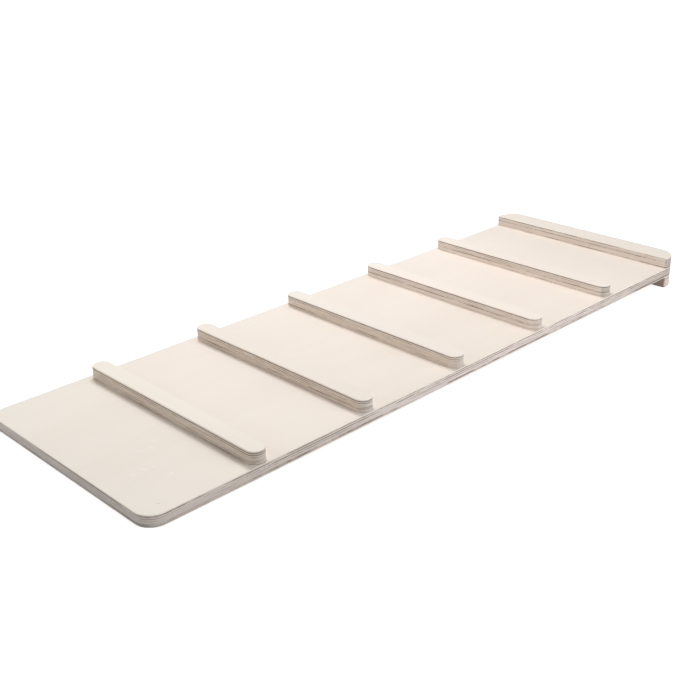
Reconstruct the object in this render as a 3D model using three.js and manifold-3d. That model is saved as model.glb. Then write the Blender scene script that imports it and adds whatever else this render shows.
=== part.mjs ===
// A children's slide ramp in birch plywood: a board with five climbing cleats across it.
// An end bar lies on the board's top end, and a hook bar under that end drops behind a rung.
// The ramp is used either way up: cleats for climbing, or the smooth side for sliding.
// Millimetres. X runs from the low end to the hooked end, Y across the board and Z up.
// The origin is under the middle of the ramp, at the height of the hook bar's underside.

import * as THREE from 'three';
import { mergeVertices, toCreasedNormals } from 'three/addons/utils/BufferGeometryUtils.js';
import Module from 'manifold-3d';

const wasm = await Module();
wasm.setup();

// Board
const boardLength = 1215;
const boardWidth = 400;
const boardThickness = 18;
const lowEndCornerRadius = 27;
const hookedEndCornerRadius = 36;
const boardEdgeRadius = 1;

// Cleats, evenly spaced between a clear run of board at the low end and one before the end bar
const cleatCount = 5;
const cleatWidth = 29;
const cleatHeight = 20;
const cleatEdgeRadius = 1.5;
const cleatEndInset = 2.5;
const lowEndRun = 169;
const hookedEndRun = 173;

// End bar on the board, and hook bar under it
const endBarDepth = 44;
const endBarHeight = 20;
const endBarFrontCornerRadius = 4;
const hookBarDepth = 44;
const hookBarHeight = 20;
const hookBarFrontCornerRadius = 2.5;
const barEdgeRadius = 1.5;

// Countersunk wood screws: a cleat's join it to the board, a bar's join all three layers
const cleatScrew = {
  count: 4,
  diameter: 4,
  headDiameter: 8,
  headRim: 0.4,
  endDistance: 45,
  driveRadius: 2,
  driveDepth: 1.6,
};
const barScrew = {
  count: 4,
  diameter: 5,
  headDiameter: 10,
  headRim: 0.5,
  endDistance: 55,
  driveRadius: 2.6,
  driveDepth: 2.2,
};
const screwTipCover = 7.5;
const headSink = 0.5;
const screwClearance = 0.4;
const driveLobes = 6;
const driveWaistShare = 0.72;

// Fineness of the round stretches, and one overrun for every cut
const cornerSteps = 10;
const edgeSteps = 3;
const screwSides = 16;
const leastCornerShare = 0.1;
const cutOverrun = 1;
const creaseAngle = Math.PI / 5;

// Heights and places worked out from the sizes above
const boardBottom = hookBarHeight;
const boardTop = boardBottom + boardThickness;
const lowEnd = -boardLength / 2;
const hookedEnd = boardLength / 2;
const endBarFront = hookedEnd - endBarDepth;
const hookBarFront = hookedEnd - hookBarDepth;
const cleatLength = boardWidth - 2 * cleatEndInset;
const firstCleatFront = lowEnd + lowEndRun;
const lastCleatFront = endBarFront - hookedEndRun - cleatWidth;
const cleatPitch = (lastCleatFront - firstCleatFront) / (cleatCount - 1);
const barCornerRadius = Math.min(
  hookedEndCornerRadius,
  endBarDepth - endBarFrontCornerRadius,
  hookBarDepth - hookBarFrontCornerRadius,
);

const plywood = () => new THREE.MeshStandardMaterial({ color: '#efe5d6', roughness: 0.6, metalness: 0 });
const zincSteel = () => new THREE.MeshStandardMaterial({ color: '#c4c6c8', roughness: 0.35, metalness: 1 });

// A closed geometry as a solid that can be cut
function solidOf(geometry) {
  const shell = geometry.clone();
  shell.deleteAttribute('normal');
  shell.deleteAttribute('uv');
  const merged = mergeVertices(shell);
  const triVerts = [];
  for (let i = 0; i < merged.index.count; i += 3) {
    const triangle = [merged.index.getX(i), merged.index.getX(i + 1), merged.index.getX(i + 2)];
    if (new Set(triangle).size === triangle.length) triVerts.push(...triangle);
  }
  return new wasm.Manifold(new wasm.Mesh({
    numProp: 3,
    vertProperties: merged.attributes.position.array,
    triVerts: Uint32Array.from(triVerts),
  }));
}

function geometryOf(solid) {
  const { vertProperties, triVerts } = solid.getMesh();
  const geometry = new THREE.BufferGeometry();
  geometry.setAttribute('position', new THREE.BufferAttribute(vertProperties, 3));
  geometry.setIndex(new THREE.BufferAttribute(triVerts, 1));
  return toCreasedNormals(geometry, creaseAngle);
}

// One level of a plate: its outline drawn in by an inset, as points of equal count at every inset
function plateRing(plate, inset, height) {
  const corners = [
    { x: plate.front, y: -plate.width / 2, radius: plate.frontRadius, start: Math.PI },
    { x: plate.back, y: -plate.width / 2, radius: plate.backRadius, start: 1.5 * Math.PI },
    { x: plate.back, y: plate.width / 2, radius: plate.backRadius, start: 0 },
    { x: plate.front, y: plate.width / 2, radius: plate.frontRadius, start: 0.5 * Math.PI },
  ];
  const middle = (plate.front + plate.back) / 2;
  const ring = [];
  for (const { x, y, radius, start } of corners) {
    const centreX = x + Math.sign(middle - x) * radius;
    const centreY = y - Math.sign(y) * radius;
    const drawnIn = Math.max(radius - inset, leastCornerShare * radius);
    for (let step = 0; step <= cornerSteps; step += 1) {
      const angle = start + 0.5 * Math.PI * step / cornerSteps;
      const pointX = centreX + drawnIn * Math.cos(angle);
      const pointY = centreY + drawnIn * Math.sin(angle);
      ring.push(new THREE.Vector3(pointX, pointY, height));
    }
  }
  return ring;
}

// The turns of a rounded edge, from the face to the wall, or one turn alone at a sharp edge
function edgeTurns(radius) {
  const steps = radius > 0 ? edgeSteps : 0;
  return Array.from({ length: steps + 1 }, (_, i) => 0.5 * Math.PI * i / edgeSteps);
}

// The levels of a plate from its lower to its upper face
function plateRings(plate) {
  const lower = edgeTurns(plate.lowerEdge).map((turn) => {
    const inset = plate.lowerEdge * (1 - Math.sin(turn));
    return plateRing(plate, inset, plate.lowerEdge * (1 - Math.cos(turn)));
  });
  const upper = edgeTurns(plate.upperEdge).map((turn) => {
    const inset = plate.upperEdge * (1 - Math.cos(turn));
    return plateRing(plate, inset, plate.height - plate.upperEdge * (1 - Math.sin(turn)));
  });
  return [...lower, ...upper];
}

// A flat wooden piece with rounded corners and rounded edges, its lower face at height zero
function plateGeometry(plate) {
  const rings = plateRings(plate);
  const size = rings[0].length;
  const index = [];
  for (let level = 0; level + 1 < rings.length; level += 1) {
    for (let i = 0; i < size; i += 1) {
      const a = level * size + i;
      const b = level * size + (i + 1) % size;
      index.push(a, b, b + size, a, b + size, a + size);
    }
  }
  const flatRing = rings[0].map(({ x, y }) => new THREE.Vector2(x, y));
  const topLevel = (rings.length - 1) * size;
  for (const [a, b, c] of THREE.ShapeUtils.triangulateShape(flatRing, [])) {
    index.push(c, b, a, topLevel + a, topLevel + b, topLevel + c);
  }
  const geometry = new THREE.BufferGeometry().setFromPoints(rings.flat());
  geometry.setIndex(index);
  return geometry;
}

// A screw's turned body, its head face at height zero and its point up; grown, it is the screw's hole
function screwBody(screw, length, growth, mouth) {
  const headRadius = screw.headDiameter / 2 + growth;
  const shankRadius = screw.diameter / 2 + growth;
  const neck = screw.headRim + headRadius - shankRadius;
  const profile = [
    new THREE.Vector2(0, -mouth),
    new THREE.Vector2(headRadius, -mouth),
    new THREE.Vector2(headRadius, screw.headRim),
    new THREE.Vector2(shankRadius, neck),
    new THREE.Vector2(shankRadius, length - screw.diameter),
    new THREE.Vector2(growth, length + growth),
    new THREE.Vector2(0, length + growth),
  ];
  return new THREE.LatheGeometry(profile, screwSides).rotateX(0.5 * Math.PI);
}

// The six-lobed recess that the driver turns the screw by
function driveRecess(screw) {
  const outline = new THREE.Shape();
  const points = 2 * driveLobes;
  for (let i = 0; i < points; i += 1) {
    const radius = i % 2 ? screw.driveRadius * driveWaistShare : screw.driveRadius;
    const angle = 2 * Math.PI * i / points;
    if (i === 0) outline.moveTo(radius * Math.cos(angle), radius * Math.sin(angle));
    else outline.lineTo(radius * Math.cos(angle), radius * Math.sin(angle));
  }
  const depth = screw.driveDepth + cutOverrun;
  const recess = new THREE.ExtrudeGeometry(outline, { depth, bevelEnabled: false });
  return recess.translate(0, 0, -cutOverrun);
}

const screwGeometry = (screw, length) =>
  geometryOf(solidOf(screwBody(screw, length, 0, 0)).subtract(solidOf(driveRecess(screw))));

const screwHole = (screw, length) =>
  solidOf(screwBody(screw, length, screwClearance, headSink + cutOverrun));

// Places across the board of a row of screws in a piece of a given length
function rowAcross(screw, pieceLength) {
  const spread = pieceLength - 2 * screw.endDistance;
  return Array.from({ length: screw.count }, (_, i) => spread * (i / (screw.count - 1) - 0.5));
}

const ramp = new THREE.Group();

function addPiece(name, geometry, material, place) {
  const mesh = new THREE.Mesh(geometry, material);
  mesh.name = name;
  mesh.position.copy(place);
  ramp.add(mesh);
}

// A wooden piece, cut by the holes of the screws that enter it, each hole placed in the ramp's frame
function addPlate(name, plate, material, bottom, holes) {
  let solid = solidOf(plateGeometry(plate));
  for (const { hole, place } of holes) {
    solid = solid.subtract(hole.translate(place.x, place.y, place.z - bottom));
  }
  addPiece(name, geometryOf(solid), material, new THREE.Vector3(0, 0, bottom));
}

// Cleats, spaced from the low end, and the screws that hold them
const cleatScrewLength = boardThickness + cleatHeight - screwTipCover - headSink;
const cleatScrewShape = screwGeometry(cleatScrew, cleatScrewLength);
const cleatScrewHole = screwHole(cleatScrew, cleatScrewLength);
const boardHoles = [];
for (let i = 0; i < cleatCount; i += 1) {
  const front = firstCleatFront + i * cleatPitch;
  const holes = rowAcross(cleatScrew, cleatLength).map((y) => ({
    hole: cleatScrewHole,
    place: new THREE.Vector3(front + cleatWidth / 2, y, boardBottom + headSink),
  }));
  boardHoles.push(...holes);
  const cleat = {
    front,
    back: front + cleatWidth,
    width: cleatLength,
    height: cleatHeight,
    frontRadius: cleatWidth / 2,
    backRadius: cleatWidth / 2,
    lowerEdge: 0,
    upperEdge: cleatEdgeRadius,
  };
  addPlate(`cleat_${i + 1}`, cleat, plywood(), boardTop, holes);
  holes.forEach(({ place }, j) => {
    addPiece(`cleat_${i + 1}_screw_${j + 1}`, cleatScrewShape, zincSteel(), place);
  });
}

// The two bars at the hooked end, and the long screws through them and the board
const barScrewLength = hookBarHeight + boardThickness + endBarHeight - screwTipCover - headSink;
const barScrewShape = screwGeometry(barScrew, barScrewLength);
const barScrewHole = screwHole(barScrew, barScrewLength);
const barScrewRow = hookedEnd - Math.min(endBarDepth, hookBarDepth) / 2;
const barHoles = rowAcross(barScrew, boardWidth).map((y) => ({
  hole: barScrewHole,
  place: new THREE.Vector3(barScrewRow, y, headSink),
}));
boardHoles.push(...barHoles);
barHoles.forEach(({ place }, j) => {
  addPiece(`bar_screw_${j + 1}`, barScrewShape, zincSteel(), place);
});

const endBar = {
  front: endBarFront,
  back: hookedEnd,
  width: boardWidth,
  height: endBarHeight,
  frontRadius: endBarFrontCornerRadius,
  backRadius: barCornerRadius,
  lowerEdge: 0,
  upperEdge: barEdgeRadius,
};
addPlate('end_bar', endBar, plywood(), boardTop, barHoles);

const hookBar = {
  front: hookBarFront,
  back: hookedEnd,
  width: boardWidth,
  height: hookBarHeight,
  frontRadius: hookBarFrontCornerRadius,
  backRadius: barCornerRadius,
  lowerEdge: barEdgeRadius,
  upperEdge: 0,
};
addPlate('hook_bar', hookBar, plywood(), 0, barHoles);

// The board itself
const board = {
  front: lowEnd,
  back: hookedEnd,
  width: boardWidth,
  height: boardThickness,
  frontRadius: lowEndCornerRadius,
  backRadius: barCornerRadius,
  lowerEdge: boardEdgeRadius,
  upperEdge: boardEdgeRadius,
};
addPlate('board', board, plywood(), boardBottom, boardHoles);

export default ramp;
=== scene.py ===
"""A children's slide ramp in birch plywood, lying on a white floor in soft studio light.

Metres, in the frame of the part: X along the ramp to its hooked end, Y across it, Z up.
The wooden pieces keep the shapes of the frame and are shaded smooth. Their plies, veneer and
cut edges are one procedural plywood, set for each piece by its thickness and its grain.
"""

import math

import bmesh
import bpy
from mathutils import Matrix, Vector


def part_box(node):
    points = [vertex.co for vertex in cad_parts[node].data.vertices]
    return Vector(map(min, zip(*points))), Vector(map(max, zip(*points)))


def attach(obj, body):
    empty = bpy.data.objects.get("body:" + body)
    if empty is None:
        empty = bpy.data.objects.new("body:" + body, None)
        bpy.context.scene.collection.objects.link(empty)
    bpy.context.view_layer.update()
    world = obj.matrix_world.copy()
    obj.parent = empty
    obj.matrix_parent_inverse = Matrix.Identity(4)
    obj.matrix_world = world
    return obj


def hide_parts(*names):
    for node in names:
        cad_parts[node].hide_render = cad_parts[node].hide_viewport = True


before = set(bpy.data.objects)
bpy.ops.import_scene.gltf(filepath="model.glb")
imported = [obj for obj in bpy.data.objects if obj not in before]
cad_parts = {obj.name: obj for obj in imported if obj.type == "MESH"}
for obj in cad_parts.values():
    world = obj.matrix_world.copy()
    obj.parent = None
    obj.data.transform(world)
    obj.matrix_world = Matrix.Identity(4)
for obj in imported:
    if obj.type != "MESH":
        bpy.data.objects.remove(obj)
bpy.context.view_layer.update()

MM = 0.001

# Camera: the photograph is square, and its middle looks at a place near the middle of the board
PHOTO_SIDE = 680
FOCAL_PIXELS = 1080.0
SENSOR = 36
FARTHEST_SEEN = 100
CAMERA_PLACE = Vector((-1.1859, -1.1623, 0.7578))
CAMERA_TARGET = Vector((-0.0801, 0.0133, 0.038))
CAMERA_ROLL = math.radians(1.592)

# Rest on the floor: the low end's underside and the hook bar's front edge are this close above it
FLOOR_GAP = 0.3 * MM
FLOOR_SIDE = 30.0

# Wooden pieces: each ply's darkness where it is cut, from the bottom face to the top one, how much of
# the upper dark ply's darkness is kept all along the piece, and how many plies' thickness the top ply
# has. The cleats' lowest plies are darker or paler partly as painted shade and light at their feet,
# darkest on cleat_1. No two strips come from the same sheet, so each has its own tints, which are also
# painted light and shade: of its faces and of its cut sides that face Y, each evenly spaced along X, and
# of its cut side that faces the low end, so that each side is lit or shaded by its tint. The turn is
# the range of the normal's share along X over which a rounded end goes from a Y tint to the X tint.
# The back painted shade darkens every cut side that faces the hooked end.
WOOD_PIECES = {
    "board": {"grain": "X", "seed": 3.0, "steady": 0.1, "top_ply": 0.95,
              "plies": (0.1, 0.35, 0.7, 0.15, 0.15, 0.45, 0.05, 1.0, 0.05, 1.0, 0.05),
              "face_tones_and_painted_light": ((0.99, 1.015, 1.015), (1.0, 1.0, 1.0), (0.98, 0.98, 0.98),
                             (0.995, 0.99, 0.99), (1.035, 1.03, 1.04), (0.97, 0.975, 0.975)),
              "x_side_tone_and_painted_light": (0.80, 0.82, 0.83),
              "y_side_tones_and_painted_light": ((0.98, 0.995, 1.0), (0.97, 0.975, 0.99), (1.04, 1.045, 1.08),
                          (1.09, 1.09, 1.13), (0.985, 0.995, 1.035), (0.84, 0.845, 0.85)),
              "turn": (0.5, 1.0)},
    "end_bar": {"grain": "Y", "seed": 11.0, "steady": 0.1, "top_ply": 0.95,
                "plies": (0.15, 0.85, 0.1, 0.05, 0.1, 0.05, 0.1, 0.7, 0.1, 0.1, 0.05, 0.85, 0.1),
                "face_tones_and_painted_light": ((0.985, 0.995, 0.99),),
                "x_side_tone_and_painted_light": (1.085, 1.06, 1.05), "y_side_tones_and_painted_light": ((0.67, 0.68, 0.68),), "turn": (0.75, 1.0)},
    "hook_bar": {"grain": "Y", "seed": 17.0, "steady": 0.1, "top_ply": 0.95,
                 "plies": (0.15, 0.5, 0.1, 0.25, 0.1, 0.4, 0.1, 0.15, 0.1, 0.4, 0.1, 0.9, 0.1),
                 "face_tones_and_painted_light": ((1.0, 1.0, 1.0),),
                 "x_side_tone_and_painted_light": (0.68, 0.58, 0.55), "y_side_tones_and_painted_light": ((1.12, 1.06, 1.10),), "turn": (0.3, 0.9)},
    # cleat_1's lowest plies are darker partly as painted shade at its foot
    "cleat_1": {"grain": "Y", "seed": 23.0, "steady": 0.9, "top_ply": 1.35,
                "plies": (0.45, 0.35, 0.2, 0.4, 0.2, 0.15, 0.15, 0.3, 0.1, 0.8, 0.05, 1.0, 0.1),
                "face_tones_and_painted_light": ((1.02, 1.03, 1.02),),
                "x_side_tone_and_painted_light": (1.0, 1.0, 0.955), "y_side_tones_and_painted_light": ((0.91, 0.91, 0.89),), "turn": (0.6, 1.0)},
    "cleat_2": {"grain": "Y", "seed": 31.0, "steady": 0.9, "top_ply": 1.2,
                "plies": (0.2, 0.35, 0.2, 0.75, 0.3, 0.3, 0.15, 0.5, 0.1, 0.6, 0.1, 1.0, 0.1),
                "face_tones_and_painted_light": ((0.97, 0.97, 0.965),),
                "x_side_tone_and_painted_light": (1.105, 1.075, 1.03), "y_side_tones_and_painted_light": ((0.93, 0.96, 0.98),), "turn": (0.6, 1.0)},
    "cleat_3": {"grain": "Y", "seed": 43.0, "steady": 0.6, "top_ply": 0.95,
                "plies": (0.1, 0.1, 0.5, 0.1, 0.1, 0.2, 0.1, 0.35, 0.1, 0.5, 0.1, 1.0, 0.1),
                "face_tones_and_painted_light": ((0.98, 0.985, 1.0),),
                "x_side_tone_and_painted_light": (1.135, 1.105, 1.065), "y_side_tones_and_painted_light": ((0.93, 0.92, 0.91),), "turn": (0.6, 1.0)},
    "cleat_4": {"grain": "Y", "seed": 53.0, "steady": 0.5, "top_ply": 0.95,
                "plies": (0.1, 0.2, 0.05, 0.05, 0.1, 0.95, 0.25, 0.3, 0.1, 0.4, 0.1, 1.0, 0.1),
                "face_tones_and_painted_light": ((1.035, 1.03, 1.035),),
                "x_side_tone_and_painted_light": (1.185, 1.175, 1.175), "y_side_tones_and_painted_light": ((0.93, 0.91, 0.89),), "turn": (0.6, 1.0)},
    "cleat_5": {"grain": "Y", "seed": 61.0, "steady": 1.1, "top_ply": 0.95,
                "plies": (0.1, 0.55, 0.05, 0.05, 0.1, 0.85, 0.15, 0.3, 0.1, 0.4, 0.1, 1.0, 0.1),
                "face_tones_and_painted_light": ((1.03, 1.03, 1.04),),
                "x_side_tone_and_painted_light": (1.175, 1.15, 1.13), "y_side_tones_and_painted_light": ((0.73, 0.73, 0.72),), "turn": (0.75, 1.0)},
}
# A painted shade on every cut side that faces the hooked end, and where it comes in by the normal's share
# along X
BACK_PAINTED_SHADE = (0.88, 0.88, 0.87)
BACK_SHADE_TURN = (-0.1, 0.1)
WELD = 0.002 * MM
SHARP_ANGLE = math.radians(40)

# Plies, measured in plies: the bottom one's thickness, how unevenly thick all are, how far they rise and
# fall with the wander pattern, how far each ply's patterns are moved from those of the ply below, and
# how far inside the outermost plies a place is kept
BOTTOM_PLY = 0.95
PLY_UNEVENNESS = 0.45
PLY_WANDER = 0.45
PLY_SHIFT = 0.37
DEPTH_MARGIN = 0.01

# Patterns of noise: how many of their cells fit in a metre, in three directions or in all, and how much
# finer detail they have. The veneer's directions are along its grain, across it and upwards, the cut
# edge's are X, Y and Z, and the drift's are X, Y and from ply to ply.
FIGURE = {"scales": (1.7, 19.0, 19.0), "detail": 3.0, "roughness": 0.55, "distortion": 0.9}
FIBRE = {"scales": (11.0, 520.0, 520.0), "detail": 3.0, "roughness": 0.62}
PORE = {"scales": (95.0, 1500.0, 1500.0), "detail": 1.0}
DRIFT = {"scales": (12.0, 12.0, 41.0), "detail": 5.0, "roughness": 0.72}
CHECKS = {"scales": (420.0, 420.0, 700.0), "detail": 4.0, "roughness": 0.7}
STREAK = {"scales": (12.0, 12.0, 1100.0), "detail": 2.0, "roughness": 0.6}
WANDER = {"scale": 14.0}
CLOUD = {"scale": 4.5}
RUBBING = {"scale": 60.0, "detail": 3.0, "roughness": 0.6}
FOOT_SHADE_SPOTS = {"scale": 30.0, "detail": 3.0, "roughness": 0.6}
ZINC_PATCHES = {"scale": 900.0, "detail": 3.0, "roughness": 0.6}

# Veneer: the range over which each pattern comes to show, and its share of the darker colour
FIGURE_RANGE = (0.36, 0.74)
FIGURE_SHARE = 0.2
FIBRE_RANGE = (0.42, 0.78)
FIBRE_SHARE = 0.1
CLOUD_RANGE = (0.35, 0.75)
CLOUD_SHARE = 0.22
PORE_RANGE = (0.63, 0.78)
PORE_SHARE = 0.16

# Cut plies: their darkness comes and goes with the drift, and less of it is left near the sanded low
# end, apart from the upper plies. CHECKS_SHARES are for a ply cut along its grain and one cut across it,
# GLUE_SHARES for a pale ply and a dark one, and GLUE_RANGE is in plies from the joint of two plies.
UPPER_PLIES = 2
DRIFT_RANGE = (0.38, 0.62)
DRIFT_LEAST = 0.1
DRIFT_MOST = 1.45
SANDED_LENGTHS = (80 * MM, 150 * MM)
SANDED_SHARE = 0.45
DARK_SHARE = 0.9
CUT_RANGE = (0.2, 0.8)
STREAK_RANGE = (0.35, 0.75)
STREAK_SHARE = 0.4
CHECKS_RANGE = (0.48, 0.72)
CHECKS_SHARES = (0.35, 1.0)
CHECKS_DARKNESS = 0.3
GLUE_RANGE = (0.05, 0.17)
GLUE_SHARES = (0.15, 0.8)

# Sides, arrises and the foot: where a share of the normal, or a noise, comes to show. The face ranges
# and the shares of the pale arrises and of the foot's darkening hold one number for a side that faces Y
# and one for a side that faces X, and the strengths of the foot's darkening are for its lightest and its
# darkest spots. The pale arrises are partly wear and partly a painted highlight, and the darkening at the
# foot is painted contact shade with some dirt.
FACING_RANGE = (-0.1, 0.3)
FACE_BEGINS = (0.05, 0.15)
FACE_FULL = (0.4, 0.6)
ARRIS_BEGINS = (0.05, 0.4)
ARRIS_ENDS = (0.93, 0.995)
RUBBING_RANGE = (0.2, 0.6)
WORN_AND_HIGHLIGHT_SHARES = (0.85, 0.0)
FOOT_SHADE_HEIGHT = 4.5 * MM
FOOT_SHADE_RANGE = (0.3, 0.7)
FOOT_SHADE_STRENGTHS = (0.4, 0.85)
FOOT_SHADE_SHARES = (0.35, 1.0)

# Gloss and relief of the wood: the roughness of a face and of a cut edge, and each pattern's part
ROUGHNESSES = (0.5, 0.7)
FIBRE_ROUGHNESS = 0.16
WOOD_SPECULAR = 0.2
GROOVE_RANGE = (0.4, 0.8)
FIBRE_RELIEF = 0.6
GROOVE_RELIEF = -0.5
PORE_RELIEF = -0.4
BUMP_STRENGTH = 0.4
BUMP_HEIGHT = 0.1 * MM

# Screws: sizes in millimetres, the same for every screw of a kind, and shares of the drive and the shank
SCREW_KINDS = {
    "cleat": {"head": 8.0, "rim": 0.4, "shank": 4.0, "drive": 4.0, "drive_depth": 1.6,
              "pitch": 1.8, "plain": 11.0},
    "bar": {"head": 10.0, "rim": 0.5, "shank": 5.0, "drive": 5.2, "drive_depth": 2.2,
            "pitch": 2.2, "plain": 16.0},
}
SCREW_SIDES = 48
DRIVE_LOBES = 6
LOBE_SHARE = 0.14
DRIVE_TAPER = 0.92
HEAD_EDGE = 0.12
PLAIN_SHARE = 0.8
CORE_SHARE = 0.64
THREAD_SHARE = 0.42
THREAD_STEPS = 8
POINT_RADIUS = 0.12
SCREW_TURN = math.radians(137.5)

# Small marks on the board's upper face: X, Y, half length and half width in millimetres, heading in
# degrees, and the share of the mark's colour. Between two shares of its squared size a mark fades.
SCUFFS = (
    (-487, -43, 4.1, 1.3, -32, 0.45), (-501, -55, 4.7, 1.3, -32, 0.5), (-519, -52, 3.3, 1.4, -32, 0.45),
    (-527, -100, 4.5, 1.2, -33, 0.45), (-540, -97, 5.2, 1.3, -29, 0.55), (-559, -98, 4.5, 1.5, -35, 0.45),
    (-546, -120, 3.2, 1.3, -33, 0.4), (-523, -131, 8.2, 1.3, 3, 0.4),
)
NICKS = ((-575, -178.3, 2.9, 0.9, -10, 0.45),)
MARK_FADES = (0.2, 1.0)

# Colours as linear shares
VENEER = (0.87, 0.79, 0.71)
VENEER_FIGURE = (0.80, 0.71, 0.62)
VENEER_PORE = (0.70, 0.59, 0.48)
# Pale arrises: partly wear, partly a painted highlight
WORN_AND_HIGHLIGHT = (0.97, 0.92, 0.86)
SCUFF = (1.0, 0.96, 0.92)
NICK = (0.42, 0.37, 0.31)
# Darkening at the foot near the floor: painted contact shade, with some dirt
FOOT_SHADE_AND_DIRT = (0.24, 0.22, 0.20)
EDGE_LIGHT = (0.85, 0.77, 0.70)
EDGE_TAN = (0.66, 0.56, 0.47)
DARK_PLY = (0.19, 0.135, 0.10)
GLUE_LINE = (0.12, 0.08, 0.055)
ZINC = (0.66, 0.66, 0.65)
ZINC_DULL = (0.55, 0.55, 0.52)
FLOOR_WHITE = (0.9, 0.9, 0.9)

# Zinc plate: where its dull patches come to show, its least roughness, and how far that rises
ZINC_RANGE = (0.35, 0.7)
ZINC_ROUGHNESS = 0.22
ZINC_UNEVENNESS = 0.2

# Floor: the white that the camera sees on it beyond its lit colour, near the ramp's middle and far from
# it, and those two distances in metres
FLOOR_GLOWS = (0.7, 1.0)
FLOOR_GLOW_DISTANCES = (1.0, 2.2)

# Light: the surround's strength, and each lamp's name, place, target, width, height and watts
WORLD_LIGHT = 0.15
LAMPS = (
    ("high_window", (0.3, 1.0, 1.7), (-0.3, 0, 0), 0.8, 0.6, 26.0),
    ("left_softbox", (-1.8, 0.4, 0.9), (-0.2, 0, 0), 1.2, 1.2, 6.4),
    ("front_strip", (0.45, -1.25, 0.4), (0.35, 0, 0), 1.1, 0.4, 4.5),
    ("front_softbox", (0.4, -1.4, 1.3), (0.2, 0, 0), 1.6, 0.8, 8.5),
    ("overhead_softbox", (0.3, -0.1, 0.8), (0.3, -0.1, 0), 0.5, 0.8, 0.35),
    ("overhead_strip", (-0.3, 0, 1.0), (-0.3, 0, 0), 0.4, 1.0, 0.75),
)


class Shader:
    """The node tree of one material, with a short call for each kind of node."""

    def __init__(self, name):
        self.material = bpy.data.materials.new(name)
        self.material.use_nodes = True
        self.tree = self.material.node_tree
        self.tree.nodes.clear()

    def add(self, kind, inputs=None, **settings):
        node = self.tree.nodes.new(kind)
        for key, value in settings.items():
            setattr(node, key, value)
        for key, value in (inputs or {}).items():
            self.put(node.inputs[key], value)
        return node

    def put(self, socket, value):
        if isinstance(value, bpy.types.NodeSocket):
            self.tree.links.new(value, socket)
        elif socket.type == "RGBA" and len(value) == 3:
            socket.default_value = (*value, 1)
        else:
            socket.default_value = value

    def maths(self, operation, first, second=0.0, third=0.0):
        inputs = {0: first, 1: second, 2: third}
        return self.add("ShaderNodeMath", inputs, operation=operation).outputs[0]

    def blend(self, share, first, second):
        """A number between two numbers."""
        inputs = {"Factor": share, "A": first, "B": second}
        return self.add("ShaderNodeMix", inputs, data_type="FLOAT").outputs[0]

    def tint(self, share, first, second, blend_type="MIX"):
        """A colour between two colours."""
        node = self.add("ShaderNodeMix", data_type="RGBA", blend_type=blend_type)
        colours = [socket for socket in node.inputs if socket.type == "RGBA"]
        self.put(node.inputs[0], share)
        self.put(colours[0], first)
        self.put(colours[1], second)
        return next(socket for socket in node.outputs if socket.type == "RGBA")

    def ramp(self, value, low, high):
        """A number's place between low and high, eased and kept from 0 to 1."""
        inputs = {"Value": value, "From Min": low, "From Max": high}
        node = self.add("ShaderNodeMapRange", inputs, interpolation_type="SMOOTHSTEP")
        return node.outputs[0]

    def steps(self, value, shares):
        """One of some equal steps' shares, by a value from 0 to 1."""
        node = self.add("ShaderNodeValToRGB", {0: value})
        stops = node.color_ramp.elements
        node.color_ramp.interpolation = "CONSTANT"
        stops.remove(stops[-1])
        for step, share in enumerate(shares):
            stop = stops[0] if step == 0 else stops.new(step / len(shares))
            stop.color = (share, share, share, 1)
        return node.outputs[0]

    def vector(self, x, y, z):
        return self.add("ShaderNodeCombineXYZ", {0: x, 1: y, 2: z}).outputs[0]

    def one_minus(self, share):
        return self.maths("SUBTRACT", 1.0, share)

    def product(self, first, *others):
        """The product of some numbers, taken in turn."""
        for other in others:
            first = self.maths("MULTIPLY", first, other)
        return first

    def stretched_noise(self, place, scales, **settings):
        """A noise at a place given by three numbers, each of them at its own scale."""
        scaled = [self.maths("MULTIPLY", number, scale) for number, scale in zip(place, scales)]
        return self.noise(self.vector(*scaled), 1.0, **settings)

    def noise(self, vector, scale, detail=2.0, roughness=0.5, distortion=0.0):
        inputs = {
            "Vector": vector,
            "Scale": scale,
            "Detail": detail,
            "Roughness": roughness,
            "Distortion": distortion,
        }
        return self.add("ShaderNodeTexNoise", inputs).outputs[0]

    def finish(self, surface):
        output = self.add("ShaderNodeOutputMaterial")
        self.tree.links.new(surface, output.inputs["Surface"])
        return self.material


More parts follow.
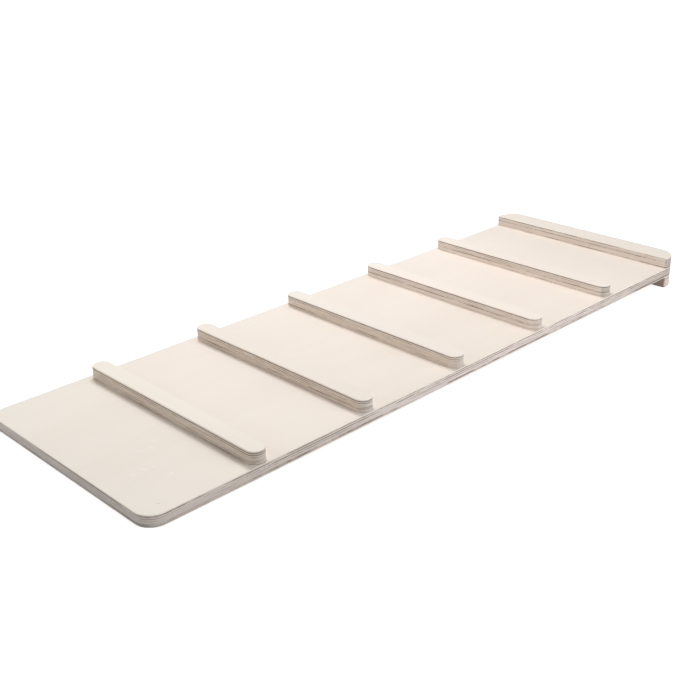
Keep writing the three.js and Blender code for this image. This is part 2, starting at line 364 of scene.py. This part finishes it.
def ply_coordinates(shader, name, ply_count, top_ply, grain, seed):
    """Where a point lies in a plywood piece: its ply, and its places along and across that ply's grain."""
    low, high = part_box(name)
    place = shader.add("ShaderNodeTexCoord").outputs["Object"]
    x, y, z = shader.add("ShaderNodeSeparateXYZ", {0: place}).outputs
    normal = shader.add("ShaderNodeNewGeometry").outputs["Normal"]
    normal_x, normal_y, normal_z = shader.add("ShaderNodeSeparateXYZ", {0: normal}).outputs
    along, across = (x, y) if grain == "X" else (y, x)
    facing_along, facing_across = (normal_x, normal_y) if grain == "X" else (normal_y, normal_x)
    wander = shader.maths("SUBTRACT", shader.noise(place, **WANDER), 0.5)
    plies_kept = ply_count - 2 + BOTTOM_PLY + top_ply
    height = shader.maths("DIVIDE", shader.maths("SUBTRACT", z, low.z), high.z - low.z)
    height = shader.maths("MULTIPLY_ADD", height, plies_kept, 1 - BOTTOM_PLY)
    height = shader.maths("MULTIPLY_ADD", wander, PLY_WANDER, height)
    swing = shader.maths("COSINE", shader.maths("MULTIPLY", height, math.pi))
    depth = shader.maths("MULTIPLY_ADD", swing, PLY_UNEVENNESS / math.pi, height)
    depth = shader.maths("MINIMUM", shader.maths("MAXIMUM", depth, DEPTH_MARGIN), ply_count - DEPTH_MARGIN)
    ply = shader.maths("FLOOR", depth)
    crossed = shader.maths("MODULO", ply, 2.0)
    shift = shader.maths("MULTIPLY_ADD", ply, PLY_SHIFT, seed)
    return {
        "place": place,
        "depth": depth,
        "ply": ply,
        "shift": shift,
        "along": shader.maths("ADD", shader.blend(crossed, along, across), shift),
        "across": shader.maths("ADD", shader.blend(crossed, across, along), shift),
        "x": x,
        "y": y,
        "z": z,
        "cut": shader.maths("ABSOLUTE", shader.blend(crossed, facing_along, facing_across)),
        "flat": shader.maths("ABSOLUTE", normal_z),
        "across_x": shader.maths("ABSOLUTE", normal_x),
        "towards_x": normal_x,
        "across_y": shader.maths("ABSOLUTE", normal_y),
    }


def veneer(shader, at):
    """A sanded birch face: a soft figure along the grain, fine pores and pale and darker clouds."""
    grained = (at["along"], at["across"], at["z"])
    figure = shader.stretched_noise(grained, **FIGURE)
    fibre = shader.stretched_noise(grained, **FIBRE)
    pore = shader.stretched_noise(grained, **PORE)
    cloud = shader.noise(at["place"], **CLOUD)
    tone = shader.product(shader.ramp(figure, *FIGURE_RANGE), FIGURE_SHARE)
    tone = shader.maths("MULTIPLY_ADD", shader.ramp(fibre, *FIBRE_RANGE), FIBRE_SHARE, tone)
    tone = shader.maths("MULTIPLY_ADD", shader.ramp(cloud, *CLOUD_RANGE), CLOUD_SHARE, tone)
    colour = shader.tint(tone, VENEER, VENEER_FIGURE)
    pores = shader.product(shader.ramp(pore, *PORE_RANGE), PORE_SHARE)
    return shader.tint(pores, colour, VENEER_PORE), fibre, pore


def cut_plies(shader, at, shares, steady):
    """A sawn and sanded edge: each ply has its own darkness, and dark glue lines come and go."""
    tone = shader.steps(shader.maths("DIVIDE", at["depth"], len(shares)), shares)
    drift = shader.stretched_noise((at["x"], at["y"], at["shift"]), **DRIFT)
    upper = shader.maths("GREATER_THAN", at["ply"], len(shares) - UPPER_PLIES - 0.5)
    least = shader.blend(upper, DRIFT_LEAST, steady)
    tone = shader.product(tone, shader.blend(shader.ramp(drift, *DRIFT_RANGE), least, DRIFT_MOST))
    board_low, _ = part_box("board")
    kept = shader.ramp(at["x"], *(board_low.x + length for length in SANDED_LENGTHS))
    kept = shader.maths("MAXIMUM", kept, upper)
    tone = shader.product(tone, shader.blend(kept, SANDED_SHARE, 1.0))
    cut = shader.ramp(at["cut"], *CUT_RANGE)
    checks = shader.stretched_noise((at["x"], at["y"], at["z"]), **CHECKS)
    streak = shader.stretched_noise((at["x"], at["y"], at["z"]), **STREAK)
    streaks = shader.product(shader.ramp(streak, *STREAK_RANGE), STREAK_SHARE)
    colour = shader.tint(streaks, EDGE_LIGHT, EDGE_TAN)
    speckle = shader.product(shader.ramp(checks, *CHECKS_RANGE), shader.blend(cut, *CHECKS_SHARES),
                             CHECKS_DARKNESS)
    colour = shader.tint(speckle, colour, DARK_PLY)
    colour = shader.tint(shader.product(tone, DARK_SHARE), colour, DARK_PLY)
    from_boundary = shader.maths("PINGPONG", at["depth"], 0.5)
    glue = shader.one_minus(shader.ramp(from_boundary, *GLUE_RANGE))
    inside = shader.maths("GREATER_THAN", at["ply"], 0.5)
    glue = shader.product(glue, inside, shader.blend(tone, *GLUE_SHARES))
    return shader.tint(glue, colour, GLUE_LINE), cut, checks


def marked(shader, at, colour, marks, mark_colour):
    """The colour with some small soft-edged marks over it, each lying flat on the face."""
    for x, y, half_length, half_width, heading, share in marks:
        cosine = math.cos(math.radians(heading))
        sine = math.sin(math.radians(heading))
        from_x = shader.maths("SUBTRACT", at["x"], x * MM)
        from_y = shader.maths("SUBTRACT", at["y"], y * MM)
        along = shader.maths("MULTIPLY_ADD", from_x, cosine, shader.product(from_y, sine))
        aside = shader.maths("MULTIPLY_ADD", from_y, cosine, shader.product(from_x, -sine))
        along = shader.maths("POWER", shader.maths("DIVIDE", along, half_length * MM), 2.0)
        aside = shader.maths("POWER", shader.maths("DIVIDE", aside, half_width * MM), 2.0)
        inside = shader.one_minus(shader.ramp(shader.maths("ADD", along, aside), *MARK_FADES))
        colour = shader.tint(shader.product(inside, share), colour, mark_colour)
    return colour


def tint_along(shader, at, low, high, tints):
    """A tint at each place along X, from some that are evenly spaced from low to high."""
    step = (high - low) / max(1, len(tints) - 1)
    colour = tints[0]
    for count, tint in enumerate(tints[1:]):
        share = shader.ramp(at["x"], low + count * step, low + (count + 1) * step)
        colour = shader.tint(share, colour, tint)
    return colour


def floor_slope():
    """How much the floor falls along the ramp, whose low end and hook bar rest on it."""
    board_low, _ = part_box("board")
    hook_low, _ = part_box("hook_bar")
    return (hook_low.z - board_low.z) / (hook_low.x - board_low.x)


def floor_height(x):
    """The floor's height under a place along the ramp."""
    hook_low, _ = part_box("hook_bar")
    return hook_low.z + floor_slope() * (x - hook_low.x) - FLOOR_GAP


def wear_and_painted_light(shader, at, facing_x, colour):
    """The colour with its arrises made pale, partly by wear and partly as a painted highlight, and darker at
    its foot near the floor, as painted contact shade with some dirt.
    """
    # Pale arrises, on sides facing Y only: partly rubbed wear, partly a painted highlight
    past_side = shader.ramp(at["flat"], *ARRIS_BEGINS)
    arris = shader.maths("SUBTRACT", past_side, shader.ramp(at["flat"], *ARRIS_ENDS))
    rubbed = shader.ramp(shader.noise(at["place"], **RUBBING), *RUBBING_RANGE)
    worn_and_highlight = shader.product(arris, rubbed, shader.blend(facing_x, *WORN_AND_HIGHLIGHT_SHARES))
    colour = shader.tint(worn_and_highlight, colour, WORN_AND_HIGHLIGHT)
    # Darker within a few millimetres of the floor, most on sides facing X: painted contact shade, with spots
    # of dirt
    floor = shader.maths("MULTIPLY_ADD", at["x"], floor_slope(), floor_height(0))
    above_floor = shader.maths("SUBTRACT", at["z"], floor)
    foot_shade_and_dirt = shader.one_minus(shader.ramp(above_floor, 0.0, FOOT_SHADE_HEIGHT))
    spots = shader.ramp(shader.noise(at["place"], **FOOT_SHADE_SPOTS), *FOOT_SHADE_RANGE)
    foot_shade_and_dirt = shader.product(foot_shade_and_dirt, shader.blend(spots, *FOOT_SHADE_STRENGTHS), shader.blend(facing_x, *FOOT_SHADE_SHARES))
    return shader.tint(foot_shade_and_dirt, colour, FOOT_SHADE_AND_DIRT)


def plywood(name, plies, steady, top_ply, grain, seed, face_tones_and_painted_light, x_side_tone_and_painted_light, y_side_tones_and_painted_light, turn):
    """Birch plywood: pale veneer on its two faces and its plies in turn on its cut edges, tinted with
    painted light and shade by place along X and by the way each side faces.
    """
    shader = Shader(name + "_plywood")
    low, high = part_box(name)
    at = ply_coordinates(shader, name, len(plies), top_ply, grain, seed)
    face, fibre, pore = veneer(shader, at)
    edge, cut, checks = cut_plies(shader, at, plies, steady)
    facing_x = shader.ramp(shader.maths("SUBTRACT", at["across_x"], at["across_y"]), *FACING_RANGE)
    on_edge = shader.one_minus(shader.ramp(at["flat"], shader.blend(facing_x, *FACE_BEGINS),
                                           shader.blend(facing_x, *FACE_FULL)))
    # Faces tinted along X: partly each strip's own tone, partly painted light and shade along the ramp
    face = shader.tint(1.0, face, tint_along(shader, at, low.x, high.x, face_tones_and_painted_light), "MULTIPLY")
    if name == "board":
        face = marked(shader, at, face, SCUFFS, SCUFF)
        face = marked(shader, at, face, NICKS, NICK)
    # Cut sides tinted by the way they face and by place along X: partly their own tone, partly painted light
    # and shade, with painted shade on the sides that face the hooked end
    x_side_tone_and_painted_light = shader.tint(shader.ramp(at["towards_x"], *BACK_SHADE_TURN), x_side_tone_and_painted_light, BACK_PAINTED_SHADE)
    y_side_tone_and_painted_light = tint_along(shader, at, low.x, high.x, y_side_tones_and_painted_light)
    cut_side_tone_and_painted_light = shader.tint(shader.ramp(at["across_x"], *turn), y_side_tone_and_painted_light, x_side_tone_and_painted_light)
    edge = shader.tint(1.0, edge, cut_side_tone_and_painted_light, "MULTIPLY")
    colour = wear_and_painted_light(shader, at, facing_x, shader.tint(on_edge, face, edge))

    unevenness = shader.maths("SUBTRACT", fibre, 0.5)
    roughness = shader.blend(on_edge, *ROUGHNESSES)
    roughness = shader.maths("MULTIPLY_ADD", unevenness, FIBRE_ROUGHNESS, roughness)
    groove = shader.product(cut, on_edge, shader.ramp(checks, *GROOVE_RANGE))
    relief = shader.maths("MULTIPLY_ADD", fibre, FIBRE_RELIEF, shader.product(groove, GROOVE_RELIEF))
    relief = shader.maths("MULTIPLY_ADD", shader.ramp(pore, *PORE_RANGE), PORE_RELIEF, relief)
    bump = shader.add("ShaderNodeBump", {
        "Strength": BUMP_STRENGTH,
        "Distance": BUMP_HEIGHT,
        "Height": relief,
    })
    surface = shader.add("ShaderNodeBsdfPrincipled", {
        "Base Color": colour,
        "Roughness": roughness,
        "Specular IOR Level": WOOD_SPECULAR,
        "Normal": bump.outputs[0],
    })
    return shader.finish(surface.outputs[0])


def zinc():
    """Bright zinc plate, a little uneven."""
    shader = Shader("zinc_plate")
    place = shader.add("ShaderNodeTexCoord").outputs["Object"]
    patches = shader.noise(place, **ZINC_PATCHES)
    surface = shader.add("ShaderNodeBsdfPrincipled", {
        "Base Color": shader.tint(shader.ramp(patches, *ZINC_RANGE), ZINC, ZINC_DULL),
        "Metallic": 1.0,
        "Roughness": shader.maths("MULTIPLY_ADD", patches, ZINC_UNEVENNESS, ZINC_ROUGHNESS),
    })
    return shader.finish(surface.outputs[0])


def smooth_mesh(build, name):
    """A mesh shaded smoothly over its small turns and sharply over its large ones."""
    for face in build.faces:
        face.smooth = True
    for edge in build.edges:
        edge.smooth = edge.calc_face_angle(0.0) < SHARP_ANGLE
    mesh = bpy.data.meshes.new(name)
    build.to_mesh(mesh)
    build.free()
    return mesh


def smooth_copy(name, material):
    """A piece in a node's own shape, its triangles joined so that its rounded edges shade smoothly."""
    build = bmesh.new()
    build.from_mesh(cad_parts[name].data)
    bmesh.ops.remove_doubles(build, verts=build.verts, dist=WELD)
    mesh = smooth_mesh(build, name + "_piece")
    mesh.attributes.remove(mesh.attributes["custom_normal"])
    mesh.materials.clear()
    mesh.materials.append(material)
    piece = bpy.data.objects.new(name + "_piece", mesh)
    bpy.context.scene.collection.objects.link(piece)
    weighted = piece.modifiers.new("Flat faces stay flat", "WEIGHTED_NORMAL")
    weighted.keep_sharp = True
    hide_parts(name)
    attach(piece, "root")


def screw_rings(length, head, rim, shank, drive, drive_depth, pitch, plain):
    """A countersunk wood screw's rings: its drive recess, its head, its thread and its point."""
    angles = [2 * math.pi * side / SCREW_SIDES for side in range(SCREW_SIDES)]
    lobes = [drive / 2 * (1 + LOBE_SHARE * (math.cos(DRIVE_LOBES * angle) - 1)) for angle in angles]
    core = shank / 2 * CORE_SHARE
    neck = rim + (head - shank * PLAIN_SHARE) / 2
    thread_start = neck + plain
    point_start = length - shank

    def even(radius):
        return [radius] * SCREW_SIDES

    yield drive_depth, [radius * DRIVE_TAPER for radius in lobes]
    yield HEAD_EDGE, lobes
    yield 0.0, [radius + HEAD_EDGE for radius in lobes]
    yield 0.0, even(head / 2 - HEAD_EDGE)
    yield HEAD_EDGE, even(head / 2)
    yield rim, even(head / 2)
    yield neck, even(shank / 2 * PLAIN_SHARE)
    yield thread_start - pitch, even(shank / 2 * PLAIN_SHARE)
    step = pitch / THREAD_STEPS
    for count in range(int((length - thread_start) / step)):
        height = thread_start + count * step
        taper = min(1.0, (length - height) / (length - point_start))
        run_in = min(1.0, (height - thread_start) / pitch)
        radii = []
        for angle in angles:
            turn = (height / pitch - angle / (2 * math.pi)) % 1.0
            ridge = max(0.0, 1 - abs(2 * turn - 1) / THREAD_SHARE)
            radii.append(POINT_RADIUS + taper * (core - POINT_RADIUS + (shank / 2 - core) * ridge * run_in))
        yield height, radii
    yield length, even(POINT_RADIUS)


def screw_mesh(name, length, **sizes):
    """One closed mesh of a screw, its head face at height zero and its point up."""
    build = bmesh.new()
    rings = []
    for height, radii in screw_rings(length, **sizes):
        ring = []
        for side, radius in enumerate(radii):
            angle = 2 * math.pi * side / SCREW_SIDES
            place = Vector((radius * math.cos(angle), radius * math.sin(angle), height))
            ring.append(build.verts.new(place * MM))
        rings.append(ring)
    for ring, following in zip(rings, rings[1:]):
        for side in range(SCREW_SIDES):
            beside = (side + 1) % SCREW_SIDES
            build.faces.new((ring[side], ring[beside], following[beside], following[side]))
    build.faces.new(rings[0])
    build.faces.new(rings[-1])
    bmesh.ops.recalc_face_normals(build, faces=build.faces)
    return smooth_mesh(build, name)


def add_screws(material):
    """Each screw of the frame, with its thread and its drive recess, turned as far as it was driven."""
    meshes = {}
    names = sorted(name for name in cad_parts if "screw" in name)
    for count, name in enumerate(names):
        kind = name.split("_")[0]
        low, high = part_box(name)
        if kind not in meshes:
            meshes[kind] = screw_mesh(kind + "_screw_form", (high.z - low.z) / MM, **SCREW_KINDS[kind])
            meshes[kind].materials.append(material)
        piece = bpy.data.objects.new(name + "_piece", meshes[kind])
        bpy.context.scene.collection.objects.link(piece)
        piece.location = ((low.x + high.x) / 2, (low.y + high.y) / 2, low.z)
        piece.rotation_euler = (0, 0, count * SCREW_TURN)
        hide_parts(name)
        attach(piece, "root")


def make_floor():
    """A plain white floor under the ramp, which keeps its shadow and is seen as white."""
    half = FLOOR_SIDE / 2
    outline = ((-half, -half), (half, -half), (half, half), (-half, half))
    corners = [(x, y, floor_height(x)) for x, y in outline]
    mesh = bpy.data.meshes.new("studio_floor")
    mesh.from_pydata(corners, [], [(0, 1, 2, 3)])
    floor = bpy.data.objects.new("studio_floor", mesh)
    bpy.context.scene.collection.objects.link(floor)
    shader = Shader("floor_white")
    diffuse = shader.add("ShaderNodeBsdfDiffuse", {"Color": FLOOR_WHITE})
    light_path = shader.add("ShaderNodeLightPath")
    seen = shader.maths("MAXIMUM", light_path.outputs["Is Camera Ray"], light_path.outputs["Is Glossy Ray"])
    place = shader.add("ShaderNodeTexCoord").outputs["Object"]
    distance = shader.add("ShaderNodeVectorMath", {0: place}, operation="LENGTH").outputs["Value"]
    strength = shader.blend(shader.ramp(distance, *FLOOR_GLOW_DISTANCES), *FLOOR_GLOWS)
    glow = shader.add("ShaderNodeEmission", {"Color": (1, 1, 1), "Strength": shader.product(seen, strength)})
    surface = shader.add("ShaderNodeAddShader", {0: diffuse.outputs[0], 1: glow.outputs[0]})
    mesh.materials.append(shader.finish(surface.outputs[0]))


def make_world():
    """A plain white surround, seen as white and giving a soft even light."""
    world = bpy.data.worlds.new("studio_surround")
    bpy.context.scene.world = world
    world.use_nodes = True
    tree = world.node_tree
    tree.nodes.clear()
    output = tree.nodes.new("ShaderNodeOutputWorld")
    background = tree.nodes.new("ShaderNodeBackground")
    light_path = tree.nodes.new("ShaderNodeLightPath")
    seen = tree.nodes.new("ShaderNodeMath")
    seen.operation = "MAXIMUM"
    strength = tree.nodes.new("ShaderNodeMapRange")
    strength.inputs["To Min"].default_value = WORLD_LIGHT
    strength.inputs["To Max"].default_value = 1.0
    background.inputs["Color"].default_value = (1, 1, 1, 1)
    tree.links.new(light_path.outputs["Is Camera Ray"], seen.inputs[0])
    tree.links.new(light_path.outputs["Is Glossy Ray"], seen.inputs[1])
    tree.links.new(seen.outputs[0], strength.inputs["Value"])
    tree.links.new(strength.outputs[0], background.inputs["Strength"])
    tree.links.new(background.outputs[0], output.inputs["Surface"])


def make_lamp(name, place, target, width, height, power):
    data = bpy.data.lights.new(name, "AREA")
    data.shape = "RECTANGLE"
    data.size = width
    data.size_y = height
    data.energy = power
    lamp = bpy.data.objects.new(name, data)
    bpy.context.scene.collection.objects.link(lamp)
    lamp.visible_camera = False
    lamp.location = place
    lamp.rotation_euler = (Vector(target) - Vector(place)).to_track_quat("-Z", "Y").to_euler()


def make_camera():
    data = bpy.data.cameras.new("photo_camera")
    data.sensor_width = SENSOR
    data.lens = FOCAL_PIXELS * SENSOR / PHOTO_SIDE
    data.clip_end = FARTHEST_SEEN
    camera = bpy.data.objects.new("photo_camera", data)
    bpy.context.scene.collection.objects.link(camera)
    look = (CAMERA_TARGET - CAMERA_PLACE).to_track_quat("-Z", "Y").to_matrix()
    turned = look @ Matrix.Rotation(-CAMERA_ROLL, 3, "Z")
    camera.matrix_world = Matrix.Translation(CAMERA_PLACE) @ turned.to_4x4()
    bpy.context.scene.camera = camera


make_camera()
make_world()
make_floor()
for lamp_settings in LAMPS:
    make_lamp(*lamp_settings)

for piece_name, settings in WOOD_PIECES.items():
    smooth_copy(piece_name, plywood(piece_name, **settings))

add_screws(zinc())

bpy.context.scene.view_settings.view_transform = "Standard"
